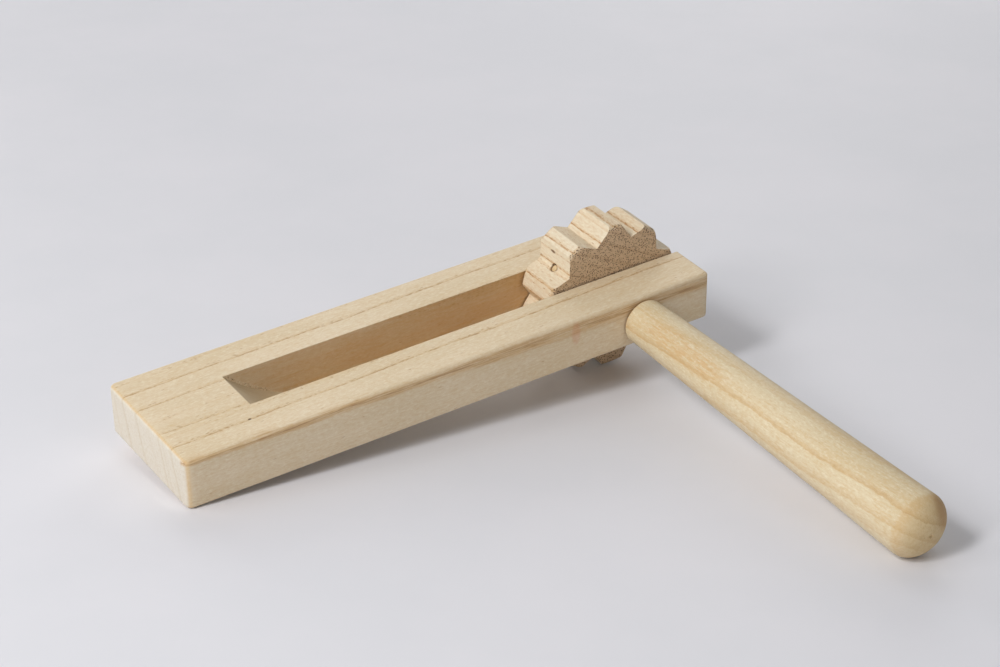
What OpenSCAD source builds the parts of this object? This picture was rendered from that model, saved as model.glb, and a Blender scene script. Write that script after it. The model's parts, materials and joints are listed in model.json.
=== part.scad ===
// Wooden ratchet rattle: a slotted block swings round a turned handle, and a thin tongue clicks
// over the teeth of a cog wheel that is fixed on the handle's axle.
//
// Every piece is drawn in the block's own axes and then set down as the rattle rests on a table:
// on the low corner of the block's closed end, on one tooth of the wheel and on the handle's end.

/* [Block] */
// Length of the block
block_l = 200; // [190:1:230]
// Width of the block
block_w = 53; // [49:0.5:60]
// Thickness of the board that the block is cut from
block_t = 18.2; // [17:0.1:20]
// Rounding of the block's outer edges
edge_r = 1.5; // [0.5:0.1:2.5]

/* [Slot] */
// Width of the slot, centred in the block and open at one end
slot_w = 18.6; // [17:0.1:20]
// Distance from the closed end to the start of the slot, on the upper face
slot_start = 32.2; // [28:0.2:40]
// Radius of the saw that leaves the slot's curved end
saw_r = 65; // [55:1:80]
// How far the saw passes below the underside
saw_over = 0.2; // [0.1:0.1:1]

/* [Wheel] */
// Radius over the teeth
wheel_r = 27.8; // [27:0.1:29]
// Radius at the bottom of the gaps between the teeth
root_r = 22.4; // [20:0.1:23.5]
// Width of the wheel
wheel_w = 17.6; // [16:0.1:17.8]
// Number of teeth
teeth = 10; // [8:1:12]
// Part of the tooth spacing that a tooth's top takes up
tooth_share = 0.29; // [0.2:0.01:0.45]
// Rounding of the wheel's rim towards its faces
rim_r = 1.6; // [1:0.1:2.5]
// Direction of the gap that holds the pin, from the block's length upwards
gap_angle = 143.5; // [130:0.5:155]

/* [Handle] */
// Distance from the block's closed end to the axle
axle_x = 172.4; // [165:0.2:175]
// Height of the axle above the block's middle plane
axle_z = -0.4; // [-1:0.1:1]
// Radius of the axle
axle_r = 6; // [5:0.1:6.5]
// Running clearance between the axle and the block, on the radius
axle_gap = 0.06; // [0.02:0.01:0.1]
// Depth of the axle's end below the block's far side
axle_inset = 0.6; // [0.2:0.1:2]
// Length of the grip from the block to the tip of the dome
grip_l = 145; // [120:1:160]
// Radius of the grip beside the block
grip_r1 = 8; // [7.5:0.1:9]
// Radius of the grip at the dome
grip_r2 = 10.9; // [9.5:0.1:12]
// Length of the dome
dome_l = 7.5; // [5:0.5:10]
// Gap between the grip's shoulder and the block
shoulder_gap = 0.5; // [0.2:0.1:1]
// Rounding of the grip's shoulder
shoulder_r = 0.8; // [0.4:0.1:1.5]

/* [Tongue] */
// Distance from the block's closed end to the tongue's fixed end
tongue_x = 14; // [10:1:20]
// Distance from the axle to the tongue's free end, along the block
tongue_reach = 26.2; // [25.8:0.1:26.8]
// Thickness of the tongue
tongue_t = 2.2; // [1.8:0.1:2.6]
// Width of the tongue
tongue_w = 18; // [16:0.1:18.2]
// Clearance between the bent tongue and the teeth
tongue_gap = 0.35; // [0.3:0.05:0.8]

/* [Pin] */
// Radius of the pin that locks the wheel to the axle
pin_r = 1.5; // [1:0.1:2]
// Depth of the pin's head below the bottom of its gap
pin_sunk = 0.9; // [0.6:0.1:1.5]
// Distance from the axle's centre to the pin's inner end
pin_in = 2; // [1:0.5:4]

/* [Hidden] */

$fn = 96;
tiny = 0.01;
cut = 1;

saw_up = saw_r - block_t - saw_over;
saw_x = slot_start + sqrt(saw_r ^ 2 - saw_up ^ 2);
saw_low_x = saw_x - sqrt(saw_r ^ 2 - (saw_r - saw_over) ^ 2);

tooth_step = 360 / teeth;
tip_half = tooth_step * tooth_share / 2;

tongue_end_x = axle_x - tongue_reach;
free_l = tongue_end_x - saw_low_x;
free_steps = 16;
tongue_tip_top = axle_z - sqrt((wheel_r + tongue_gap) ^ 2 - tongue_reach ^ 2);
bend = -block_t / 2 + tongue_t - tongue_tip_top;

dome_steps = 12;
dome_y = grip_l - dome_l;

// Lowest point of each of the three supports, for a table whose upward direction is n
function corner_point(n) =
    [edge_r, -block_w / 2 + edge_r, -block_t / 2 + edge_r] - edge_r * n;
function tooth_point(n) =
    let (flat = [n[0], 0, n[2]] / norm([n[0], 0, n[2]]))
    [axle_x, -wheel_w / 2 + rim_r, axle_z] - (wheel_r - rim_r) * flat - rim_r * n;
function dome_point(n) =
    let (k = [grip_r2 ^ 2 * n[0], dome_l ^ 2 * n[1], grip_r2 ^ 2 * n[2]])
    [axle_x, -block_w / 2 - dome_y, axle_z] - k / sqrt(k * n);
function upward(a, b, c) =
    let (n = cross(b - a, c - a))
    n * sign(n[2]) / norm(n);
function rest_normal(n, rounds) =
    rounds == 0 ? n : rest_normal(upward(corner_point(n), tooth_point(n), dome_point(n)), rounds - 1);

table_n = rest_normal([0, 0, 1], 8);
rest_pitch = atan2(-table_n[0], table_n[2]);
rest_roll = atan2(table_n[1], norm([table_n[0], table_n[2]]));
rest_lift = -table_n * corner_point(table_n);

// Outline of the resting rattle seen from above, which puts the origin in its middle
in_l = block_l - edge_r;
in_t = block_t / 2 - edge_r;
low_x = edge_r * cos(rest_pitch) + in_t * sin(rest_pitch) - edge_r;
high_x = in_l * cos(rest_pitch) - in_t * sin(rest_pitch) + edge_r;
axle_up = axle_z * cos(rest_pitch) - axle_x * sin(rest_pitch);
corner_down = edge_r * sin(rest_pitch) + in_t * cos(rest_pitch);
low_y = -(block_w / 2 + dome_y) * cos(rest_roll) - axle_up * sin(rest_roll)
    - norm([dome_l * cos(rest_roll), grip_r2 * sin(rest_roll)]);
high_y = (block_w / 2 - edge_r) * cos(rest_roll) + corner_down * sin(rest_roll) + edge_r;

module at_rest() {
    translate([-(low_x + high_x) / 2, -(low_y + high_y) / 2, rest_lift])
        rotate([rest_roll, 0, 0])
            rotate([0, rest_pitch, 0])
                children();
}

// Lays a shape that is drawn with its height along the handle across the block, base to the back
module across() {
    rotate([90, 0, 0]) children();
}

module rounded_rect(w, h, r) {
    square([w - 2 * r, h], center = true);
    square([w, h - 2 * r], center = true);
    for (x = [-1, 1], y = [-1, 1])
        translate([x * (w / 2 - r), y * (h / 2 - r)]) circle(r);
}

module rounded_board() {
    intersection() {
        linear_extrude(block_t, center = true) rounded_rect(block_l, block_w, edge_r);
        across()
            linear_extrude(block_w, center = true) rounded_rect(block_l, block_t, edge_r);
        rotate([90, 0, 90])
            linear_extrude(block_l, center = true) rounded_rect(block_w, block_t, edge_r);
    }
}

// The saw's path: a disc above the curved end, and a straight run out of the open end
module saw_cut() {
    translate([saw_x, 0, block_t / 2 + saw_up])
        across()
            cylinder(h = slot_w, r = saw_r, center = true);
    translate([saw_x, -slot_w / 2, -block_t / 2 - cut])
        cube([block_l - saw_x + cut, slot_w, block_t + 2 * cut]);
}

// Recess in the underside that the tongue's fixed end is glued into
module tongue_recess() {
    translate([tongue_x, -slot_w / 2, -block_t / 2 - cut])
        cube([saw_x - tongue_x, slot_w, tongue_t + cut]);
}

module block() {
    color("wheat")
    at_rest()
    difference() {
        translate([block_l / 2, 0, 0]) rounded_board();
        saw_cut();
        tongue_recess();
        translate([axle_x, 0, axle_z])
            across()
                cylinder(h = block_w + 2 * cut, r = axle_r + axle_gap, center = true);
    }
}

// Outline of the teeth: flat flanks between the tips and the pointed gaps, running past the rim
module teeth_outline() {
    flank = (wheel_r - root_r) / (tooth_step / 2 - tip_half);
    far = wheel_r + rim_r;
    far_half = tip_half - (far - wheel_r) / flank;
    polygon([
        for (i = [0 : teeth - 1], s = [0, 1, 2])
            let (mid = gap_angle + i * tooth_step + tooth_step / 2,
                 a = s == 0 ? mid - tooth_step / 2 : mid + (2 * s - 3) * far_half,
                 r = s == 0 ? root_r : far)
            r * [cos(a), sin(a)]
    ]);
}

module turned_blank() {
    rotate_extrude()
        polygon([
            [0, -wheel_w / 2],
            for (a = [0 : 10 : 90])
                [wheel_r - rim_r + rim_r * sin(a), -wheel_w / 2 + rim_r - rim_r * cos(a)],
            for (a = [90 : -10 : 0])
                [wheel_r - rim_r + rim_r * sin(a), wheel_w / 2 - rim_r + rim_r * cos(a)],
            [0, wheel_w / 2]
        ]);
}

// Places a shape drawn upwards so that it points out of the axle along the pin's gap
module along_pin() {
    translate([axle_x, 0, axle_z])
        rotate([0, 90 - gap_angle, 0])
            children();
}

module pin_hole() {
    along_pin()
        translate([0, 0, pin_in]) cylinder(h = wheel_r, r = pin_r);
}

module wheel() {
    color("burlywood")
    at_rest()
    difference() {
        translate([axle_x, 0, axle_z])
            across()
                intersection() {
                    linear_extrude(wheel_w + cut, center = true) teeth_outline();
                    turned_blank();
                    difference() {
                        cylinder(h = wheel_w + cut, r = wheel_r + cut, center = true);
                        cylinder(h = wheel_w + 2 * cut, r = axle_r, center = true);
                    }
                }
        pin_hole();
    }
}

// Half section of the handle, from the axle's far end to the tip of the dome
function handle_profile() =
    let (start = -block_w + axle_inset, c = axle_r / 8)
    concat(
        [[0, start], [axle_r - c, start], [axle_r, start + c], [axle_r, shoulder_gap]],
        [for (a = [0 : 15 : 90])
            [grip_r1 - shoulder_r + shoulder_r * sin(a),
             shoulder_gap + shoulder_r - shoulder_r * cos(a)]],
        [for (i = [0 : dome_steps - 1])
            let (a = 90 * i / dome_steps)
            [grip_r2 * cos(a), dome_y + dome_l * sin(a)]],
        [[0, grip_l]]
    );

module handle() {
    color("palegoldenrod")
    at_rest()
    difference() {
        translate([axle_x, -block_w / 2, axle_z])
            across()
                rotate_extrude() polygon(handle_profile());
        pin_hole();
    }
}

module wheel_pin() {
    color("peru")
    at_rest()
    along_pin()
        translate([0, 0, pin_in]) cylinder(h = root_r - pin_sunk - pin_in, r = pin_r);
}

// Drop of the tongue's bent middle line, as in a strip held at one end and pushed at the other
function drop(s) = bend * s ^ 2 * (3 - s) / 2;

module tongue() {
    under = -block_t / 2;
    color("tan")
    at_rest()
    across()
        linear_extrude(tongue_w, center = true)
            polygon([
                [tongue_x, under + tongue_t],
                [tongue_x, under],
                for (i = [0 : free_steps])
                    [saw_low_x + free_l * i / free_steps, under - drop(i / free_steps)],
                for (i = [free_steps : -1 : 0])
                    [saw_low_x + free_l * i / free_steps, under + tongue_t - drop(i / free_steps)]
            ]);
}

block();
wheel();
handle();
wheel_pin();
tongue();
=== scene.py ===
import json
import math

import bmesh
import bpy
from mathutils import Matrix, Vector, noise


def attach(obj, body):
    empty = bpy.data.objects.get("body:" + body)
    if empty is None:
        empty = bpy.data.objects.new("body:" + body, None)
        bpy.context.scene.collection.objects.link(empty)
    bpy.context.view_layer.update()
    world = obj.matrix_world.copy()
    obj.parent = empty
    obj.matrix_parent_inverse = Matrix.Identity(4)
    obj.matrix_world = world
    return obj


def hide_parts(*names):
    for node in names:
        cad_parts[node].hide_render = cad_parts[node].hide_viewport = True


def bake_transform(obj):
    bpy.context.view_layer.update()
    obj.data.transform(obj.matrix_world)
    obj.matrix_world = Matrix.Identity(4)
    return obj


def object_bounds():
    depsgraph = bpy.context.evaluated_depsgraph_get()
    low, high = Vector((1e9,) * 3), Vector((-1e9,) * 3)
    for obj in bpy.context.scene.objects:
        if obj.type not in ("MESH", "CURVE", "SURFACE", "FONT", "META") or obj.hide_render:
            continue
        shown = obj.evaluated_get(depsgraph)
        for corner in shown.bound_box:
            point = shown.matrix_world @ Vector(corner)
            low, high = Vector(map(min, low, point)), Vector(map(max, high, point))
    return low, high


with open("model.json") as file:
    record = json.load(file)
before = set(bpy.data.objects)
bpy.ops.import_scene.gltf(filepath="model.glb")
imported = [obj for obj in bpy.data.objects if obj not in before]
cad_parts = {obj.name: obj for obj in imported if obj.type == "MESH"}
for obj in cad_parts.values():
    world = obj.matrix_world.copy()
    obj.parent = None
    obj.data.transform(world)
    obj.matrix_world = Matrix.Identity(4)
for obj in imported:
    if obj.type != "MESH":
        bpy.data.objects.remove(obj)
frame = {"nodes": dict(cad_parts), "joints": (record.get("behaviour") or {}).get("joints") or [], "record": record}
cad_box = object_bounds()

MM = 0.001

# ---------------------------------------------------------------- the block's own axes
# x runs from the closed end to the open end, y from the handle's side to the back, z up through
# the board; the origin is the middle of the closed end's face.
RECORD = frame["record"]
MOUNTS = {m["name"]: m for m in RECORD["mounts"]}
JOINTS = {j["name"]: j for j in frame["joints"]}
AXIS_X = -Vector(MOUNTS["closed_end"]["axis"])
AXIS_Y = -Vector(JOINTS["wheel_spin"]["axis"])
AXIS_Z = Vector(MOUNTS["block_top"]["axis"])
ORIGIN = Vector(MOUNTS["closed_end"]["pos_m"])
TO_ROW = Matrix.Translation(ORIGIN) @ Matrix((AXIS_X, AXIS_Y, AXIS_Z)).transposed().to_4x4()
TO_BLOCK = TO_ROW.inverted()


def local_box(node):
    """Lowest and highest corner of a CAD node in the block's own axes, in metres."""
    points = [TO_BLOCK @ v.co for v in frame["nodes"][node].data.vertices]
    return (Vector([min(p[i] for p in points) for i in range(3)]),
            Vector([max(p[i] for p in points) for i in range(3)]))


BLOCK_LOW, BLOCK_HIGH = local_box("block")
WHEEL_LOW, WHEEL_HIGH = local_box("wheel")
HANDLE_LOW = local_box("handle")[0]
TONGUE_LOW, TONGUE_HIGH = local_box("tongue")
AXLE = TO_BLOCK @ Vector(JOINTS["wheel_spin"]["pos_m"])

BLOCK_L = BLOCK_HIGH.x
BLOCK_W = BLOCK_HIGH.y - BLOCK_LOW.y
BLOCK_T = BLOCK_HIGH.z - BLOCK_LOW.z
WHEEL_W = WHEEL_HIGH.y - WHEEL_LOW.y
GRIP_L = -BLOCK_W / 2 - HANDLE_LOW.y

# sizes that the CAD model's boxes don't give, the same as in the CAD model; only CORNER_R,
# TOOTH_CUTS and the last three of the pin's depart from it
EDGE_R = 1.5 * MM
CORNER_R = 2.5 * MM
SLOT_W = 18.6 * MM
SLOT_START = 32.2 * MM
SAW_R = 65 * MM
SAW_OVER = 0.2 * MM
SAW_UP = SAW_R - BLOCK_T - SAW_OVER
SAW_X = SLOT_START + math.sqrt(SAW_R ** 2 - SAW_UP ** 2)
SAW_LOW_X = SAW_X - math.sqrt(SAW_R ** 2 - (SAW_R - SAW_OVER) ** 2)
WHEEL_R = 27.8 * MM
ROOT_R = 22.4 * MM
TEETH = 10
TOOTH_SHARE = 0.29
RIM_R = 1.6 * MM
GAP_ANGLE = math.radians(143.5)
# the teeth are cut by hand: how much shorter each tip is, in mm, and how far its two corners
# stand out of place, in degrees, from the tooth after the pin's gap onward
TOOTH_CUTS = ((1.1, 0.3, 0.2), (0.5, -0.4, 0.4), (0.0, 4.0, -2.0), (0.8, 3.0, 1.5),
              (0.8, -0.3, -0.5), (0.4, 0.5, 0.3), (0.8, 0.2, -0.6), (0.7, 1.0, -0.9),
              (0.3, -1.4, 2.2), (0.1, 0.0, 1.8))
AXLE_R = 6 * MM
AXLE_GAP = 0.06 * MM
AXLE_INSET = 0.6 * MM
GRIP_R1 = 8 * MM
GRIP_R2 = 10.9 * MM
DOME_L = 7.5 * MM
AXLE_CHAMFER = 0.75 * MM
SHOULDER_GAP = 0.5 * MM
SHOULDER_R = 0.8 * MM
TONGUE_T = 2.2 * MM
PIN_R = 1.5 * MM
PIN_IN = 2 * MM
PIN_SUNK = 0.1 * MM
PIN_LOOSE = 0.33 * MM
PIN_LEAN = 0.3 * MM


# ---------------------------------------------------------------- mesh helpers
def finish_mesh(bm, name, sharp=math.radians(32)):
    """Makes an object of a bmesh that is in the block's axes, with smooth faces and sharp edges."""
    bmesh.ops.recalc_face_normals(bm, faces=bm.faces)
    for f in bm.faces:
        f.smooth = True
    mesh = bpy.data.meshes.new(name)
    bm.to_mesh(mesh)
    bm.free()
    mesh.transform(TO_ROW)
    mesh.set_sharp_from_angle(angle=sharp)
    piece = bpy.data.objects.new(name, mesh)
    bpy.context.scene.collection.objects.link(piece)
    return piece


def lathe(bm, profile, sides, place):
    """A closed turned solid. profile is (radius, height) from the bottom's axis to the top's."""
    rings = []
    for r, h in profile:
        if r < 1e-9:
            rings.append([bm.verts.new(place @ Vector((0, 0, h)))])
        else:
            rings.append([bm.verts.new(place @ Vector((r * math.cos(a), r * math.sin(a), h)))
                          for a in (math.tau * i / sides for i in range(sides))])
    for low, high in zip(rings, rings[1:]):
        for i in range(sides):
            j = (i + 1) % sides
            corners = [low[i % len(low)], low[j % len(low)], high[j % len(high)], high[i % len(high)]]
            bm.faces.new(list(dict.fromkeys(corners)))


def box_into(bm, low, high):
    """A plain box, for cutting."""
    made = bmesh.ops.create_cube(bm, size=1)["verts"]
    for v in made:
        v.co = Vector(((v.co[i] + 0.5) * (high[i] - low[i]) + low[i]) for i in range(3))


def evaluated(piece):
    """A bmesh of the piece with its modifiers applied; the piece itself goes."""
    graph = bpy.context.evaluated_depsgraph_get()
    bm = bmesh.new()
    bm.from_mesh(piece.evaluated_get(graph).to_mesh())
    old = piece.data
    bpy.data.objects.remove(piece)
    bpy.data.meshes.remove(old)
    return bm


def raw_object(bm, name):
    """An object of a bmesh as it stands, for modifiers to work on."""
    bmesh.ops.recalc_face_normals(bm, faces=bm.faces)
    mesh = bpy.data.meshes.new(name)
    bm.to_mesh(mesh)
    bm.free()
    piece = bpy.data.objects.new(name, mesh)
    bpy.context.scene.collection.objects.link(piece)
    return piece


def carve(bm, cutters, bevel=0.0):
    """Cuts the cutters out of a bmesh and eases the new sharp edges."""
    body = raw_object(bm, "body")
    tools = [raw_object(c, "cutter") for c in cutters]
    for tool in tools:
        m = body.modifiers.new("cut", "BOOLEAN")
        m.operation = "DIFFERENCE"
        m.solver = "EXACT"
        m.object = tool
    if bevel:
        m = body.modifiers.new("ease", "BEVEL")
        m.width = bevel
        m.segments = 2
        m.limit_method = "ANGLE"
        m.angle_limit = math.radians(34)
    out = evaluated(body)
    for tool in tools:
        bpy.data.objects.remove(tool)
    return out


def slice_up(bm, step, low, high):
    """Cuts the faces along evenly spaced planes, so that they can be moved a little."""
    for axis in range(3):
        normal = Vector([1 if i == axis else 0 for i in range(3)])
        count = int((high[axis] - low[axis]) / step)
        for k in range(1, count):
            at = low[axis] + (high[axis] - low[axis]) * k / count
            bmesh.ops.bisect_plane(bm, geom=bm.verts[:] + bm.edges[:] + bm.faces[:],
                                   plane_co=normal * at, plane_no=normal, dist=1e-7)


def wear(bm, depth, size, seed):
    """Sinks the surface by up to depth in soft patches, as sanding by hand leaves it."""
    bm.normal_update()
    shift = Vector((seed * 3.1, seed * 7.7, seed * 1.3))
    moves = [v.normal * (-depth * (0.5 + 0.5 * noise.noise(v.co / size + shift))) for v in bm.verts]
    for v, m in zip(bm.verts, moves):
        v.co += m


# ---------------------------------------------------------------- block
def make_block():
    """The slotted board: a sawn slot, a recess for the tongue and a bore for the axle."""
    bm = bmesh.new()
    box_into(bm, (0, -BLOCK_W / 2, -BLOCK_T / 2), (BLOCK_L, BLOCK_W / 2, BLOCK_T / 2))
    # the closed end's upright edges are rounder than the others
    upright = [e for e in bm.edges if all(v.co.x < EDGE_R for v in e.verts)
               and abs(e.verts[0].co.z - e.verts[1].co.z) > EDGE_R]
    bmesh.ops.bevel(bm, geom=upright, offset=CORNER_R, segments=6, profile=0.5, affect="EDGES")
    sharp = [e for e in bm.edges if e.calc_face_angle(0) > math.radians(30)]
    bmesh.ops.bevel(bm, geom=sharp, offset=EDGE_R, segments=5, profile=0.5, affect="EDGES")

    across = Matrix.Rotation(math.radians(90), 4, "X")
    saw = bmesh.new()
    lathe(saw, [(0, -SLOT_W / 2), (SAW_R, -SLOT_W / 2), (SAW_R, SLOT_W / 2), (0, SLOT_W / 2)], 360,
          Matrix.Translation((SAW_X, 0, BLOCK_T / 2 + SAW_UP)) @ across)
    run = bmesh.new()
    box_into(run, (SAW_X, -SLOT_W / 2, -BLOCK_T), (BLOCK_L + EDGE_R, SLOT_W / 2, BLOCK_T))
    recess = bmesh.new()
    box_into(recess, (TONGUE_LOW.x, -SLOT_W / 2, -BLOCK_T),
             (SAW_X + MM, SLOT_W / 2, -BLOCK_T / 2 + TONGUE_T))
    bore = bmesh.new()
    r = AXLE_R + AXLE_GAP
    lathe(bore, [(0, -BLOCK_W), (r, -BLOCK_W), (r, BLOCK_W), (0, BLOCK_W)], 96,
          Matrix.Translation(AXLE) @ across)
    bm = carve(bm, [saw, run, recess, bore], bevel=0.22 * MM)
    slice_up(bm, 4 * MM, (0, -BLOCK_W / 2, -BLOCK_T / 2), (BLOCK_L, BLOCK_W / 2, BLOCK_T / 2))
    wear(bm, depth=0.12 * MM, size=22 * MM, seed=1)
    return finish_mesh(bm, "Rattle_block")


# ---------------------------------------------------------------- cog wheel
TOOTH_STEP = math.tau / TEETH
TIP_HALF = TOOTH_STEP * TOOTH_SHARE / 2


def half_tooth(limit, tip_half):
    """From the middle of a gap to the middle of the next tip, cut off at limit."""
    valley = Vector((math.cos(TOOTH_STEP / 2), math.sin(TOOTH_STEP / 2))) * ROOT_R
    reach = WHEEL_R + 2 * MM
    slope = (WHEEL_R - ROOT_R) / (TOOTH_STEP / 2 - tip_half)
    top_half = tip_half - (reach - WHEEL_R) / slope
    top = Vector((math.cos(top_half), math.sin(top_half))) * reach
    # the place on the flank that is as far out as limit, by halving
    lo, hi = 0.0, 1.0
    for _ in range(40):
        mid = (lo + hi) / 2
        lo, hi = (mid, hi) if valley.lerp(top, mid).length < limit else (lo, mid)
    corner = valley.lerp(top, lo)
    flank = [valley.lerp(corner, i / 8) for i in range(8)]
    a = math.atan2(corner.y, corner.x)
    tip = [Vector((math.cos(a * (1 - i / 5)), math.sin(a * (1 - i / 5)))) * limit
           for i in range(6)]
    return flank + tip


def wheel_outline(bm, y, limit):
    """The wheel's outline at y, with its tips cut off at limit."""
    ring = []
    for k, (short, before, after) in enumerate(TOOTH_CUTS):
        turn = Matrix.Rotation(GAP_ANGLE + TOOTH_STEP * (k + 0.5), 2)
        right = half_tooth(limit - short * MM, TIP_HALF + math.radians(after))
        left = half_tooth(limit - short * MM, TIP_HALF + math.radians(before))
        for p in [Vector((p.x, -p.y)) for p in right] + list(reversed(left))[1:-1]:
            q = turn @ p
            ring.append(bm.verts.new(AXLE + Vector((q.x, y, q.y))))
    return ring


def join(bm, low, high):
    """Faces between two closed rows of points."""
    count = len(low)
    for i in range(count):
        j = (i + 1) % count
        bm.faces.new([low[i], low[j], high[j], high[i]])


def wheel_side(bm, ring, y):
    """The flat side at y, from the outline in to the axle, and the row of points that it ends on."""
    last = ring
    for share in (0.75, 0.5, 0.25, 0.0):
        inner = []
        for v in ring:
            out = Vector((v.co.x - AXLE.x, 0, v.co.z - AXLE.z))
            at_axle = out.normalized() * AXLE_R
            inner.append(bm.verts.new(AXLE + at_axle + (out - at_axle) * share
                                      + Vector((0, y, 0))))
        join(bm, last, inner)
        last = inner
    return last


def make_wheel():
    """The cog wheel with its rounded rims, unevenly cut teeth and the pin's hole."""
    rim = [(-WHEEL_W / 2 + RIM_R * (1 - math.cos(a)), WHEEL_R - RIM_R * (1 - math.sin(a)))
           for a in (math.radians(15 * i) for i in range(7))]
    flat = WHEEL_W / 2 - RIM_R
    stations = (rim + [(-flat + 2 * flat * i / 10, WHEEL_R) for i in range(1, 10)]
                + [(-y, r) for y, r in reversed(rim)])
    bm = bmesh.new()
    rings = [wheel_outline(bm, y, limit) for y, limit in stations]
    for low, high in zip(rings, rings[1:]):
        join(bm, low, high)
    join(bm, wheel_side(bm, rings[0], -WHEEL_W / 2), wheel_side(bm, rings[-1], WHEEL_W / 2))

    hole = bmesh.new()
    lathe(hole, [(0, PIN_IN), (PIN_R, PIN_IN), (PIN_R, WHEEL_R), (0, WHEEL_R)], 48, pin_place())
    bm = carve(bm, [hole], bevel=0.16 * MM)
    wear(bm, depth=0.1 * MM, size=7 * MM, seed=2)
    return finish_mesh(bm, "Rattle_wheel")


def pin_place():
    """Turns a shape drawn along z to point out of the axle along the pin's gap."""
    out = Vector((math.cos(GAP_ANGLE), 0, math.sin(GAP_ANGLE)))
    return Matrix.Translation(AXLE) @ out.to_track_quat("Z", "Y").to_matrix().to_4x4()


def make_pin():
    """A whittled plug that leans to one side of its hole, so that a thin crescent stays open."""
    top = ROOT_R - PIN_SUNK
    radius = PIN_R - PIN_LOOSE
    bm = bmesh.new()
    profile = [(0, PIN_IN), (radius, PIN_IN), (radius, top - 0.35 * MM),
               (radius * 0.94, top - 0.12 * MM), (radius * 0.6, top - 0.02 * MM),
               (radius * 0.3, top), (0, top)]
    lean = Vector((-0.4, 0.75, -0.53)).normalized() * PIN_LEAN
    lathe(bm, profile, 40, Matrix.Translation(lean) @ pin_place())
    wear(bm, depth=0.12 * MM, size=1.1 * MM, seed=3)
    return finish_mesh(bm, "Rattle_pin")


# ---------------------------------------------------------------- handle
def make_handle():
    """The turned axle and grip, drawn as one profile along the handle."""
    start = -BLOCK_W + AXLE_INSET
    dome_y = GRIP_L - DOME_L
    profile = [(0, start), (AXLE_R - AXLE_CHAMFER, start), (AXLE_R, start + AXLE_CHAMFER)]
    profile += [(AXLE_R, start + (SHOULDER_GAP - start) * i / 12) for i in range(1, 13)]
    profile += [(GRIP_R1 - SHOULDER_R + SHOULDER_R * math.sin(a),
                 SHOULDER_GAP + SHOULDER_R - SHOULDER_R * math.cos(a))
                for a in (math.radians(15 * i) for i in range(7))]
    first = SHOULDER_GAP + SHOULDER_R
    profile += [(GRIP_R1 + (GRIP_R2 - GRIP_R1) * i / 40, first + (dome_y - first) * i / 40)
                for i in range(1, 40)]
    profile += [(GRIP_R2 * math.cos(a), dome_y + DOME_L * math.sin(a))
                for a in (math.radians(4.5 * i) for i in range(20))]
    # the dimple that the lathe's centre leaves
    profile += [(0.75 * MM, GRIP_L - 0.03 * MM), (0.55 * MM, GRIP_L - 0.3 * MM),
                (0, GRIP_L - 0.7 * MM)]
    bm = bmesh.new()
    place = (Matrix.Translation((AXLE.x, -BLOCK_W / 2, AXLE.z))
             @ Matrix.Rotation(math.radians(90), 4, "X"))
    lathe(bm, profile, 96, place)
    wear_grip(bm)
    return finish_mesh(bm, "Rattle_handle")


def wear_grip(bm):
    """Wear on the grip alone, so that the axle still fits its bores."""
    bm.normal_update()
    edge = -BLOCK_W / 2 - SHOULDER_GAP
    moves = []
    for v in bm.verts:
        share = min(max((edge - v.co.y) / (4 * MM), 0), 1)
        wave = 0.5 + 0.5 * noise.noise(v.co / (16 * MM) + Vector((5, 9, 2)))
        moves.append(v.normal * (-0.16 * MM * share * wave))
    for v, m in zip(bm.verts, moves):
        v.co += m


# ---------------------------------------------------------------- tongue
def make_tongue():
    """The thin strip, bent as the wheel's tooth holds it."""
    bend = TONGUE_LOW.z + BLOCK_T / 2
    free_l = TONGUE_HIGH.x - SAW_LOW_X
    half_w = TONGUE_HIGH.y
    under = -BLOCK_T / 2

    def drop(x):
        """How far the strip is bent down at x."""
        s = max((x - SAW_LOW_X) / free_l, 0)
        return bend * s * s * (3 - s) / 2

    bm = bmesh.new()
    box_into(bm, (TONGUE_LOW.x, -half_w, under), (TONGUE_HIGH.x, half_w, under + TONGUE_T))
    bmesh.ops.bevel(bm, geom=bm.edges[:], offset=0.25 * MM, segments=2, profile=0.5, affect="EDGES")
    slice_up(bm, 3 * MM, (TONGUE_LOW.x, -half_w, under), (TONGUE_HIGH.x, half_w, under + TONGUE_T))
    for v in bm.verts:
        v.co.z += drop(v.co.x)
    wear(bm, depth=0.05 * MM, size=9 * MM, seed=4)
    return finish_mesh(bm, "Rattle_tongue")


# ---------------------------------------------------------------- procedural wood
MM_PER_M = 1000
# where the colour sockets of a mix node are
MIX_A, MIX_B, MIX_RESULT = 6, 7, 2


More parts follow.
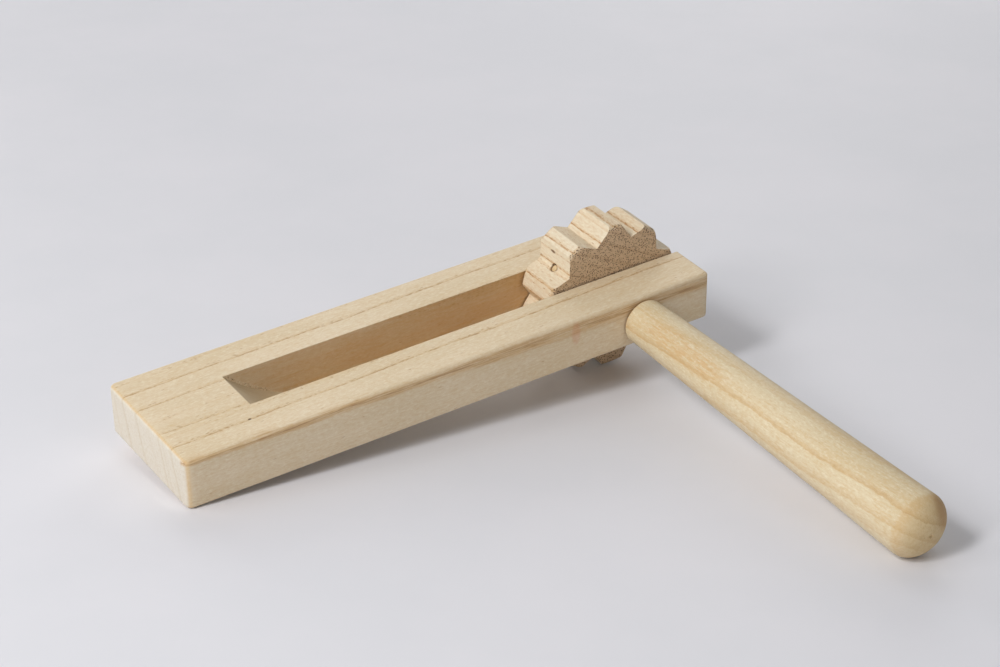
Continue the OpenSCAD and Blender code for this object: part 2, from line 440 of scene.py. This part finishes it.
class Tree:
    """Short ways to make shader nodes and join them."""

    def __init__(self, name):
        self.material = bpy.data.materials.new(name)
        self.material.use_nodes = True
        self.tree = self.material.node_tree
        self.shader = self.tree.nodes["Principled BSDF"]

    def node(self, kind, inputs=(), **settings):
        n = self.tree.nodes.new(kind)
        for key, value in settings.items():
            setattr(n, key, value)
        for key, value in dict(inputs).items():
            self.put(n.inputs[key], value)
        return n

    def put(self, socket, value):
        if isinstance(value, bpy.types.NodeSocket):
            self.tree.links.new(value, socket)
        else:
            socket.default_value = value

    def math(self, op, a, b=0.0):
        return self.node("ShaderNodeMath", {0: a, 1: b}, operation=op).outputs[0]

    def times(self, *factors):
        product = factors[0]
        for factor in factors[1:]:
            product = self.math("MULTIPLY", product, factor)
        return product

    def wrap(self, value, low, high):
        return self.node("ShaderNodeMath", {0: value, 1: high, 2: low}, operation="WRAP").outputs[0]

    def band(self, value, low, high, out_low=0.0, out_high=1.0, kind="SMOOTHSTEP"):
        """Smooth step of value between low and high, or a straight one."""
        n = self.node("ShaderNodeMapRange", {"Value": value, "From Min": low, "From Max": high,
                                             "To Min": out_low, "To Max": out_high},
                      interpolation_type=kind)
        return n.outputs["Result"]

    def mix(self, share, a, b):
        n = self.node("ShaderNodeMix", data_type="RGBA")
        self.put(n.inputs["Factor"], share)
        self.put(n.inputs[MIX_A], a)
        self.put(n.inputs[MIX_B], b)
        return n.outputs[MIX_RESULT]

    def stain(self, base, mask, share, colour):
        """Puts colour over base where the mask is, by share at most."""
        return self.mix(self.times(mask, share), base, colour)

    def noise(self, vector, scale, detail, rough):
        n = self.node("ShaderNodeTexNoise", {"Vector": vector, "Scale": scale, "Detail": detail,
                                             "Roughness": rough})
        return n.outputs["Fac"]

    def combine(self, x, y, z):
        return self.node("ShaderNodeCombineXYZ", {0: x, 1: y, 2: z}).outputs[0]

    def split(self, vector):
        return self.node("ShaderNodeSeparateXYZ", {0: vector}).outputs

    def dot(self, a, b):
        n = self.node("ShaderNodeVectorMath", {0: a, 1: b}, operation="DOT_PRODUCT")
        return n.outputs["Value"]

    def near(self, spot, centre, size):
        """A soft blob, 1 in its middle: centre and size in millimetres in the block's axes."""
        away = self.node("ShaderNodeVectorMath", {0: spot, 1: centre}, operation="SUBTRACT")
        scaled = self.node("ShaderNodeVectorMath", {0: away.outputs[0], 1: size},
                           operation="DIVIDE")
        far = self.node("ShaderNodeVectorMath", {0: scaled.outputs[0]}, operation="LENGTH")
        return self.band(far.outputs["Value"], 0.5, 1.0, 1.0, 0.0)


def rgb(r, g, b):
    """A colour from screen values of 0 to 255."""
    def linear(c):
        c /= 255
        return c / 12.92 if c <= 0.04045 else ((c + 0.055) / 1.055) ** 2.4
    return (linear(r), linear(g), linear(b), 1.0)


# the half width and half thickness of the block in millimetres, the unit of the wood's axes
HALF_W, HALF_T = BLOCK_W / 2 / MM, BLOCK_T / 2 / MM
# how far a ring's line takes to start, and how far the wood is plain beyond the outer rings
RING_START, RING_MARGIN = 0.28, 6
DRY_FIBRE = rgb(242, 231, 208)


class Wood(Tree):
    """Ring-porous wood, solid in three dimensions. grain and ring are directions in the block's
    axes: along the fibres and across the growth rings. u, v and w are distances along the
    fibres, across the rings and along the rings, in millimetres."""

    def __init__(self, name, grain, ring):
        super().__init__(name)
        grain = Vector(grain).normalized()
        ring = (Vector(ring) - grain * grain.dot(Vector(ring))).normalized()
        coords = self.node("ShaderNodeTexCoord")
        self.spot = self.node("ShaderNodeMapping", {
            "Vector": coords.outputs["Object"], "Location": TO_BLOCK.translation * MM_PER_M,
            "Rotation": TO_BLOCK.to_euler(), "Scale": (MM_PER_M,) * 3}).outputs[0]
        self.normal = coords.outputs["Normal"]
        self.u, self.v, self.w = (self.dot(self.spot, way)
                                  for way in (grain, ring, grain.cross(ring)))
        self.fibres = TO_ROW.to_3x3() @ grain

    def field(self, along, across, detail=2.0, rough=0.5):
        """Noise drawn out along the fibres; lengths in millimetres."""
        at = self.combine(self.math("DIVIDE", self.u, along), self.math("DIVIDE", self.v, across),
                          self.math("DIVIDE", self.w, across))
        return self.noise(at, 1.0, detail, rough)

    def stray(self, wander, jag):
        """Bends the rings, slowly by wander and finely by jag."""
        crook = self.times(self.math("SUBTRACT", self.field(48, 30), 0.5), wander)
        shiver = self.times(self.math("SUBTRACT", self.field(4.5, 1.6, 4.0, 0.75), 0.5), jag)
        self.v_bent = self.math("ADD", self.v, self.math("ADD", crook, shiver))

    def ring_profile(self, rings, repeat, fade):
        """Each ring's strength: a sharp start, then a tint that fades."""
        low, high = rings[0][0] - RING_MARGIN, rings[-1][0] + RING_MARGIN
        if repeat:
            low = rings[0][0] - 0.5
            high = low + repeat
            self.v_bent = self.wrap(self.v_bent, low, high)
        ramp = self.node("ShaderNodeValToRGB", {0: self.band(self.v_bent, low, high,
                                                             kind="LINEAR")})
        stops = [(low, 0.0), (high, 0.0)]
        for place, strength in rings:
            stops += [(place - RING_START, 0.0), (place, strength), (place + fade, 0.0)]
        points = ramp.color_ramp.elements
        for place, value in sorted(stops)[1:-1]:
            points.new((place - low) / (high - low)).color = (value, value, value, 1)
        points[0].color = points[-1].color = (0, 0, 0, 1)
        return ramp.outputs[0]

    def cells(self, length, width, channel, share):
        """Pores: thin cells along the fibres, which end grain cuts into dots."""
        at = self.combine(self.math("DIVIDE", self.u, length),
                          self.math("DIVIDE", self.v_bent, width),
                          self.math("DIVIDE", self.w, width))
        n = self.node("ShaderNodeTexVoronoi", {"Vector": at, "Scale": 1.0})
        chance = self.node("ShaderNodeSeparateColor", {0: n.outputs["Color"]}).outputs[channel]
        return self.times(self.band(n.outputs["Distance"], 0.2, 0.5, 1.0, 0.0),
                          self.math("LESS_THAN", chance, share))


def wood(name, grain, ring, rings, colours, end_colours, repeat=0.0, wander=3.0, jag=0.8,
         line_share=0.5, tint_share=0.5, fade=1.7, dots=(0.2, 0.3), end_from=0.6, dots_from=0.5,
         roughness=(0.5, 0.72), extra=None):
    """A wood material.

    rings lists (place, strength) of the lines that the rings' open pores draw, in millimetres
    along ring, which start again after repeat. wander and jag are how far they stray, and fade
    is how far a line's tint reaches. colours are light, dark, tint beside a line, and line, and
    line_share and tint_share are how strongly the last two show. end_colours are those of the
    end grain: light, dark and pore. dots are the share of end grain that is pores and how dark
    they are. end_from and dots_from are how squarely a face cuts the fibres where it starts to
    look like end grain. extra adds marks that only one piece has, and on some pieces painted shade."""
    t = Wood(name, grain, ring)
    t.stray(wander, jag)
    profile = t.ring_profile(rings, repeat, fade)
    line = t.times(t.band(t.times(profile, profile, profile), 0.12, 0.5),
                   t.band(t.field(4.0, 1.4, 3.0, 0.7), 0.4, 0.62))
    pores = t.cells(1.9, 0.3, 0, t.math("ADD", t.times(profile, 0.85), 0.004))
    specks = t.cells(400, 0.5, 1, t.math("ADD", t.times(profile, 0.35), dots[0]))
    fibre = t.field(11, 0.34, 4.0, 0.65)
    mottle = t.field(1.8, 0.7, 4.0, 0.75)

    # long grain
    light, dark, tint, mark = colours
    base = t.mix(t.band(t.field(60, 14, 3.0, 0.55), 0.32, 0.68), light, dark)
    base = t.stain(base, t.band(fibre, 0.47, 0.72), 0.34, tint)
    base = t.stain(base, t.band(mottle, 0.48, 0.66), 0.34, tint)
    base = t.stain(base, t.band(mottle, 0.34, 0.48, 1.0, 0.0), 0.4, DRY_FIBRE)
    base = t.stain(base, profile, tint_share, tint)
    base = t.stain(base, line, line_share, mark)
    base = t.stain(base, pores, line_share, mark)

    # end grain
    facing = t.math("ABSOLUTE", t.dot(t.normal, t.fibres))
    worn = t.times(t.band(facing, 0.12, 0.4), t.band(facing, 0.6, 0.95, 1.0, 0.0))
    base = t.stain(base, worn, 0.4, tint)
    dotted = t.times(specks, t.band(facing, dots_from, dots_from + 0.2))
    end_light, end_dark, end_pore = end_colours
    ends = t.mix(t.band(t.noise(t.spot, 0.9, 4.0, 0.7), 0.3, 0.75, 0.0, 0.6), end_light, end_dark)
    ends = t.stain(ends, profile, 0.8, end_dark)
    base = t.mix(t.band(facing, end_from, min(end_from + 0.3, 0.98)), base, ends)
    base = t.stain(base, dotted, dots[1], end_pore)

    height = t.math("SUBTRACT", t.times(fibre, 0.35),
                    t.math("ADD", pores, t.times(dotted, 0.8)))
    height = t.math("SUBTRACT", height, t.times(line, 0.5))
    height = t.math("ADD", height, t.times(t.noise(t.spot, 1.5, 4.0, 0.65), 0.5))
    if extra:
        base, height = extra(t, base, height)
    bump = t.node("ShaderNodeBump", {"Strength": 0.5, "Distance": 0.16 * MM, "Height": height})
    t.put(t.shader.inputs["Base Color"], base)
    t.put(t.shader.inputs["Normal"], bump.outputs["Normal"])
    t.put(t.shader.inputs["Roughness"],
          t.band(t.math("ADD", t.times(fibre, 0.6), t.times(mottle, 0.4)), 0.3, 0.75,
                 *roughness))
    t.shader.inputs["Specular IOR Level"].default_value = 0.3
    return t.material


# ---------------------------------------------------------------- marks that only one piece has, and painted shade
def edge_streak(t, base):
    """The brown streak: it follows the front's top edge and sinks and widens to the handle."""
    x, y, z = t.split(t.spot)
    wave = t.math("SUBTRACT", t.noise(t.combine(t.times(x, 0.045), 0.0, t.times(z, 0.5)), 1.0,
                                      3.0, 0.65), 0.5)
    depth = t.math("ADD", t.math("SUBTRACT", HALF_T, z), t.times(wave, 2.6))
    middle = t.band(x, 0.0, 185.0, 1.1, 3.6)
    spread = t.band(x, 0.0, 170.0, 1.2, 3.0)
    off = t.math("DIVIDE", t.math("ABSOLUTE", t.math("SUBTRACT", depth, middle)), spread)
    front = t.band(y, -HALF_W + 1.6, -HALF_W + 3.6, 1.0, 0.0)
    threads = t.noise(t.combine(t.times(x, 0.06), t.times(y, 1.1), t.times(z, 1.7)), 1.0, 4.0,
                      0.7)
    broad = t.times(t.band(off, 0.3, 1.15, 1.0, 0.0), front)
    base = t.mix(t.times(broad, t.band(threads, 0.3, 0.55, 0.2, 0.66)), base, rgb(208, 170, 116))
    base = t.stain(base, t.times(broad, t.band(threads, 0.5, 0.62)), 0.4, rgb(164, 116, 70))
    core = t.times(t.band(off, 0.08, 0.3, 1.0, 0.0), front, t.band(threads, 0.42, 0.58))
    return t.stain(base, core, 0.34, rgb(146, 96, 56))


def slot_shade_and_marks(t, base, height):
    """The slot's walls with a painted warm shade that deepens toward the wheel, its sawn floor and the fibres torn
    where the saw ran out.
    """
    x, y, z = t.split(t.spot)
    sideways = t.band(t.math("ABSOLUTE", t.dot(t.normal, AXIS_Y)), 0.5, 0.8)
    half_slot = SLOT_W / 2 / MM
    start = SLOT_START / MM
    inside = t.times(t.band(t.math("ABSOLUTE", y), half_slot + 0.2, half_slot + 0.5, 1.0, 0.0),
                     t.band(z, HALF_T - 0.45, HALF_T - 0.15, 1.0, 0.0),
                     t.band(z, 0.15 - HALF_T, 0.45 - HALF_T),
                     t.band(x, start - 0.6, start))
    grainy = t.noise(t.combine(t.times(x, 0.05), y, t.times(z, 0.35)), 1.0, 4.0, 0.65)
    # painted shade: the slot's side walls are stained warm brown, more strongly toward the wheel that shades them,
    # with grainy noise in it
    painted_slot_shade = t.times(inside, sideways, t.math("ADD", t.band(x, 40.0, 150.0, 0.22, 0.42),
                                              t.band(grainy, 0.35, 0.65, -0.1, 0.12)))
    base = t.mix(painted_slot_shade, base, rgb(212, 164, 98))
    floor = t.times(inside, t.math("SUBTRACT", 1.0, sideways))
    base = t.stain(base, floor, 0.7, rgb(200, 181, 149))

    # torn fibres lie along the saw's circle
    out_x = t.math("SUBTRACT", x, SAW_X / MM)
    out_z = t.math("SUBTRACT", z, (BLOCK_T / 2 + SAW_UP) / MM)
    radius = t.math("SQRT", t.math("ADD", t.times(out_x, out_x), t.times(out_z, out_z)))
    lip = t.math("SUBTRACT", SAW_R / MM, radius)
    tear = t.times(t.band(lip, 0.7, 1.3, 1.0, 0.0), t.band(x, 46.0, 52.0, 1.0, 0.0), inside,
                   sideways)
    shreds = t.noise(t.spot, 1.3, 4.0, 0.75)
    base = t.mix(t.times(tear, t.band(shreds, 0.5, 0.6)), base, rgb(232, 218, 190))
    base = t.mix(t.times(tear, t.band(shreds, 0.36, 0.44, 0.8, 0.0)), base, rgb(110, 80, 50))
    return base, t.math("ADD", height, t.times(tear, shreds, 3.0))


def block_marks_and_shade(t, base, height):
    """The streak, the slot's marks and painted shade, a dark speck on top and a faint stain in front."""
    base = edge_streak(t, base)
    base, height = slot_shade_and_marks(t, base, height)
    base = t.mix(t.near(t.spot, (28.1, -16.6, HALF_T), (0.75, 0.5, 1.0)), base, rgb(96, 72, 52))
    stain = t.near(t.spot, (145.0, -HALF_W, 4.0), (2.2, 1.5, 5.5))
    return t.stain(base, stain, 0.22, rgb(214, 120, 92)), height


# the side of the grip that the photo shows, and two places on it, in millimetres
GRIP_SIDE = Vector((-0.70, 0, 0.714))
GRIP_AT = Vector((AXLE.x / MM, -HALF_W, AXLE.z / MM))
PATCH_AT = GRIP_AT + GRIP_SIDE * 8.8 + Vector((0, -30, 0))
DOME_BROWN_AND_SHADE_AT = GRIP_AT + Vector((7.5, -GRIP_L / MM + 4, 4.5))


def handle_marks_and_shade(t, base, height):
    """A golden patch of open pores on the grip near the block, and brown with painted shade on the dome's right
    side.
    """
    x, y, z = t.split(t.spot)
    threads = t.noise(t.combine(x, t.times(y, 0.14), z), 1.3, 4.0, 0.75)
    patch = t.times(t.near(t.spot, PATCH_AT, (5.5, 30.0, 5.5)),
                    t.band(threads, 0.4, 0.62, 0.1, 1.0))
    base = t.stain(base, patch, 0.55, rgb(208, 162, 102))
    # painted shade: the dome's right side, turned away from the key light, is stained brown; this is partly the
    # wood's own browner tone and partly shade
    brown = t.near(t.spot, DOME_BROWN_AND_SHADE_AT, (7.0, 6.5, 9.0))
    return t.stain(base, brown, 0.6, rgb(178, 134, 84)), height


def wheel_marks(t, base, height):
    """A short split in the flank beside the pin's gap."""
    split = t.near(t.spot, (154.3, 1.4, 18.6), (1.3, 1.8, 0.7))
    base = t.stain(base, split, 0.85, rgb(112, 78, 44))
    return base, t.math("SUBTRACT", height, t.times(split, 3.0))


# ---------------------------------------------------------------- materials
def block_wood():
    """Pale board with a few thin lines along it, placed as on the block's top."""
    return wood(
        "block_wood", grain=(1, 0.02, 0), ring=(0, 1, -0.3),
        rings=((-19.0, 0.9), (-13.5, 0.45), (-10.9, 0.8), (-4.6, 0.3), (3.6, 0.8), (12.9, 0.9),
               (19.6, 0.4)),
        colours=(rgb(229, 211, 182), rgb(222, 203, 171), rgb(212, 178, 124), rgb(172, 128, 78)),
        end_colours=(rgb(225, 217, 203), rgb(213, 199, 175), rgb(184, 154, 116)),
        wander=2.6, jag=1.1, line_share=0.62, tint_share=0.42, dots=(0.22, 0.25), dots_from=0.8,
        extra=block_marks_and_shade)


def wheel_wood():
    """Coarser wood, cut across the fibres: the wheel's faces are dark dotted end grain."""
    return wood(
        "wheel_wood", grain=(0, 1, 0), ring=(0.5, 0, 1),
        rings=((50.0, 0.9), (53.1, 0.35), (55.0, 1.0), (59.6, 0.6), (61.8, 0.9), (66.2, 0.45)),
        colours=(rgb(231, 218, 193), rgb(224, 206, 177), rgb(208, 168, 116), rgb(172, 116, 62)),
        end_colours=(rgb(216, 188, 154), rgb(194, 163, 129), rgb(84, 58, 42)),
        repeat=19.6, wander=3.0, jag=1.0, line_share=0.72, tint_share=0.6, fade=1.05,
        dots=(0.78, 0.95), end_from=0.66, dots_from=0.2, roughness=(0.6, 0.8),
        extra=wheel_marks)


def handle_wood():
    """Yellower wood with one soft line along the grip, on the side that the photo shows."""
    return wood(
        "handle_wood", grain=(0.026, -1, 0.04), ring=(0.545, 0.048, 0.839),
        rings=((78.5, 0.5), (82.5, 0.7), (88.6, 1.0), (91.2, 0.3), (96.0, 0.5), (100.0, 0.6)),
        colours=(rgb(224, 208, 175), rgb(215, 197, 161), rgb(207, 169, 112), rgb(180, 132, 78)),
        end_colours=(rgb(216, 194, 152), rgb(200, 168, 120), rgb(170, 132, 86)),
        wander=4.0, jag=2.0, line_share=0.15, tint_share=0.55, fade=2.6, dots=(0.3, 0.16),
        dots_from=0.8, extra=handle_marks_and_shade)


def pin_wood():
    return wood(
        "pin_wood", grain=(math.cos(GAP_ANGLE), 0, math.sin(GAP_ANGLE)), ring=(0, 1, 0),
        rings=((-2.0, 0.5), (1.0, 0.8)),
        colours=(rgb(224, 200, 158), rgb(212, 184, 140), rgb(194, 156, 106), rgb(150, 104, 62)),
        end_colours=(rgb(222, 196, 152), rgb(208, 178, 132), rgb(150, 110, 70)), wander=1.0)


def tongue_wood():
    return wood(
        "tongue_wood", grain=(1, 0, 0), ring=(0, 0.3, 1),
        rings=((-14.0, 0.6), (-11.0, 0.8), (-8.0, 0.7)),
        colours=(rgb(226, 203, 162), rgb(214, 188, 144), rgb(198, 162, 112), rgb(156, 112, 70)),
        end_colours=(rgb(206, 178, 136), rgb(190, 160, 118), rgb(140, 104, 66)))


# ---------------------------------------------------------------- pieces
block = make_block()
wheel = make_wheel()
handle = make_handle()
pin = make_pin()
tongue = make_tongue()
for piece, material in ((block, block_wood), (wheel, wheel_wood), (handle, handle_wood),
                        (pin, pin_wood), (tongue, tongue_wood)):
    piece.data.materials.append(material())

for piece, body, node in ((block, "frame", "block"), (wheel, "rotor", "wheel"),
                          (handle, "rotor", "handle"), (pin, "rotor", "wheel_pin")):
    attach(piece, body)
    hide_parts(node)
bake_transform(tongue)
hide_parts("tongue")


# ---------------------------------------------------------------- table, light, camera
# in metres
FLOOR_R = 1.7
LIGHT_AWAY = 1.4


def make_floor():
    """The pale paper that the rattle lies on."""
    bm = bmesh.new()
    bmesh.ops.create_circle(bm, cap_ends=True, segments=96, radius=FLOOR_R)
    mesh = bpy.data.meshes.new("Studio_floor")
    bm.to_mesh(mesh)
    bm.free()
    floor = bpy.data.objects.new("Studio_floor", mesh)
    bpy.context.scene.collection.objects.link(floor)
    t = Tree("floor_paper")
    at = t.node("ShaderNodeTexCoord").outputs["Object"]
    cloud = t.noise(at, 9.0, 4.0, 0.6)
    t.put(t.shader.inputs["Base Color"],
          t.mix(t.band(cloud, 0.3, 0.7), rgb(226, 226, 231), rgb(230, 229, 234)))
    t.shader.inputs["Roughness"].default_value = 0.6
    t.shader.inputs["Specular IOR Level"].default_value = 0.25
    mesh.materials.append(t.material)


def area_light(name, heading, height, size, power):
    """A square soft box. heading is in degrees from +Y toward +X, height above the table in
    degrees."""
    turn, lift = math.radians(heading), math.radians(height)
    away = Vector((math.sin(turn) * math.cos(lift), math.cos(turn) * math.cos(lift), math.sin(lift)))
    data = bpy.data.lights.new(name, "AREA")
    data.shape = "SQUARE"
    data.size = size
    data.energy = power
    lamp = bpy.data.objects.new(name, data)
    lamp.location = (cad_box[0] + cad_box[1]) / 2 + away * LIGHT_AWAY
    lamp.rotation_euler = away.to_track_quat("Z", "Y").to_euler()
    bpy.context.scene.collection.objects.link(lamp)


def make_world(strength, horizon):
    """Even air, with a paler band along the horizon for the low views."""
    world = bpy.data.worlds.new("Studio_air")
    world.use_nodes = True
    tree = world.node_tree
    way = tree.nodes.new("ShaderNodeTexCoord")
    split = tree.nodes.new("ShaderNodeSeparateXYZ")
    band = tree.nodes.new("ShaderNodeMapRange")
    band.interpolation_type = "SMOOTHSTEP"
    for name, value in (("From Min", 0.08), ("From Max", 0.16), ("To Min", horizon),
                        ("To Max", strength)):
        band.inputs[name].default_value = value
    tree.links.new(way.outputs["Generated"], split.inputs[0])
    tree.links.new(split.outputs["Z"], band.inputs["Value"])
    back = tree.nodes["Background"]
    back.inputs["Color"].default_value = (1.0, 1.0, 1.0, 1)
    tree.links.new(band.outputs["Result"], back.inputs["Strength"])
    bpy.context.scene.world = world


def make_camera():
    """The photograph's camera: where it stands, which way it looks, its tilt and its lens."""
    data = bpy.data.cameras.new("Camera")
    data.sensor_width = 36
    data.lens = 90.5
    data.clip_start = 0.01
    data.clip_end = 50
    camera = bpy.data.objects.new("Camera", data)
    azimuth, elevation, roll = math.radians(34.04), math.radians(24.29), math.radians(0.99)
    ahead = Vector((math.sin(azimuth) * math.cos(elevation), math.cos(azimuth) * math.cos(elevation),
                    -math.sin(elevation)))
    turn = (-ahead).to_track_quat("Z", "Y").to_matrix()
    place = Matrix.Translation((-0.40117, -0.57014, 0.36905))
    camera.matrix_world = place @ turn.to_4x4() @ Matrix.Rotation(roll, 4, "Z")
    bpy.context.scene.collection.objects.link(camera)
    bpy.context.scene.camera = camera


make_floor()
make_world(0.17, 0.62)
area_light("Key", 261, 45, 0.28, 8.1)
area_light("Side", 255, 30, 0.26, 4.4)
area_light("Left_high", 292, 45, 0.55, 2.8)
area_light("Front", 180, 20, 0.55, 1.35)
area_light("Back", 0, 20, 0.55, 2.3)
area_light("Back_right", 45, 20, 0.55, 2.8)
area_light("Back_high", 22, 45, 0.55, 1.5)
area_light("Right", 67, 45, 0.55, 0.6)
make_camera()
bpy.context.scene.view_settings.view_transform = "Standard"
